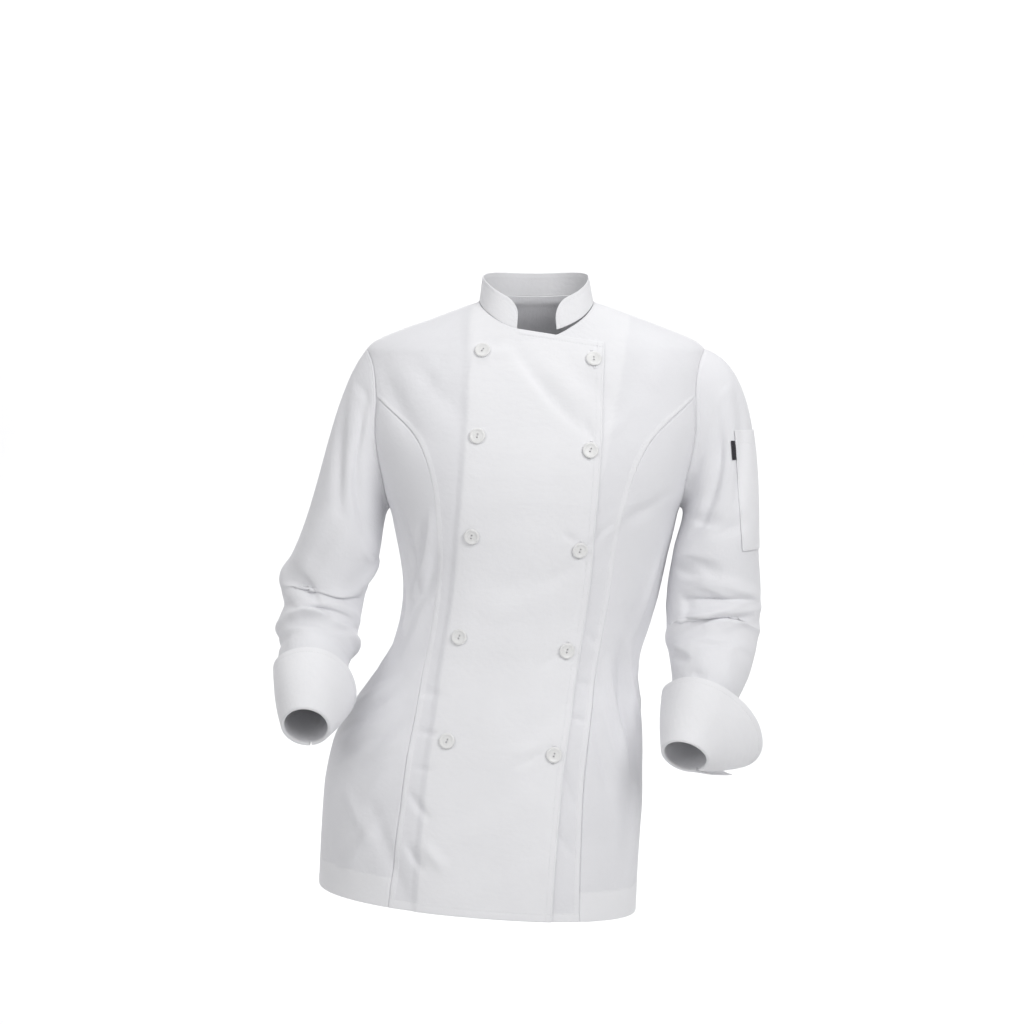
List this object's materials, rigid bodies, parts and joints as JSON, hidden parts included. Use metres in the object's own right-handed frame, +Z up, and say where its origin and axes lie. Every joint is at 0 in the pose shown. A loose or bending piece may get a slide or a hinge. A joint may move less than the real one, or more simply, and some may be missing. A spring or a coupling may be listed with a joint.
{
  "type": "chef jacket",
  "caption": "Woman's white double-breasted chef jacket in worn shape, with princess seams, stand collar, turned-back cuffs and a sleeve pen pocket.",
  "frame": {"origin": "middle of the neck opening, level with the two points where the shoulder seams meet the collar", "axes": "+Z up, -Y the way the front faces, +X the wearer's left"},
  "size_m": [0.5819, 0.2781, 0.7664],
  "materials": {
    "cloth": "matte white poly-cotton twill",
    "tab": "dark woven tape",
    "button": "white, slightly glossy, two holes"
  },
  "bodies": {
    "root": {"front_right": "cloth", "front_left": "cloth", "side_front_right": "cloth", "side_front_left": "cloth", "back": "cloth", "collar": "cloth", "sleeve_right": "cloth", "sleeve_left": "cloth", "cuff_right": "cloth", "cuff_left": "cloth", "sleeve_pocket": "cloth", "pocket_tab": "tab", "button_right_1": "button", "button_left_1": "button", "button_right_2": "button", "button_left_2": "button", "button_right_3": "button", "button_left_3": "button", "button_right_4": "button", "button_left_4": "button", "button_right_5": "button", "button_left_5": "button"}
  },
  "joints": []
}
